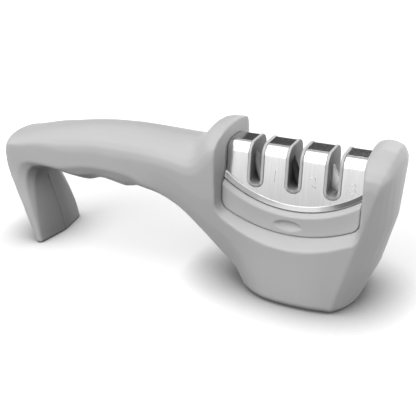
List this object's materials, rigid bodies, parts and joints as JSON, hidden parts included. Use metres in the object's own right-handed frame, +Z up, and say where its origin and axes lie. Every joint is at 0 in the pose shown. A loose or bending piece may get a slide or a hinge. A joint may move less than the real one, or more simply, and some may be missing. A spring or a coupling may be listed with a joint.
{
  "type": "knife sharpener",
  "caption": "Hand-held knife sharpener: arched handle with a leg, broad head and a lift-out steel-covered cartridge with crossed rods and blades in knife slots.",
  "frame": {"origin": "middle of the footprint's bounding box on the table", "axes": "+X from the handle's leg to the nose, +Y from the front face to the rear face, +Z up"},
  "size_m": [0.2073, 0.0516, 0.0789],
  "materials": {
    "housing_grey": "satin",
    "pad_rubber": "matt",
    "core_dark": "matt",
    "cover_steel": "brushed",
    "liner_grey": "satin",
    "ceramic": "fired ceramic",
    "diamond_grit": "gritty",
    "carbide": "ground",
    "screw_steel": "zinc plated"
  },
  "bodies": {
    "housing": {"front_shell": "housing_grey", "rear_shell": "housing_grey", "base_pad": "pad_rubber", "foot_pad": "pad_rubber"},
    "cartridge": {"cartridge_seat": "housing_grey", "core_front": "core_dark", "core_rear": "core_dark", "steel_cover": "cover_steel", "slot_liner_1": "liner_grey", "slot_liner_2": "liner_grey", "slot_liner_3": "liner_grey", "ceramic_rod_left": "ceramic", "ceramic_rod_right": "ceramic", "diamond_rod_left": "diamond_grit", "diamond_rod_right": "diamond_grit", "carbide_blade_left": "carbide", "carbide_blade_right": "carbide", "blade_screws": "screw_steel", "core_screws": "screw_steel", "seat_screws": "screw_steel"}
  },
  "joints": [
    {"name": "cartridge_lift", "type": "slide", "parent": "housing", "child": "cartridge", "axis": [0, 0, 1], "range_m": [0, 0.055]}
  ]
}
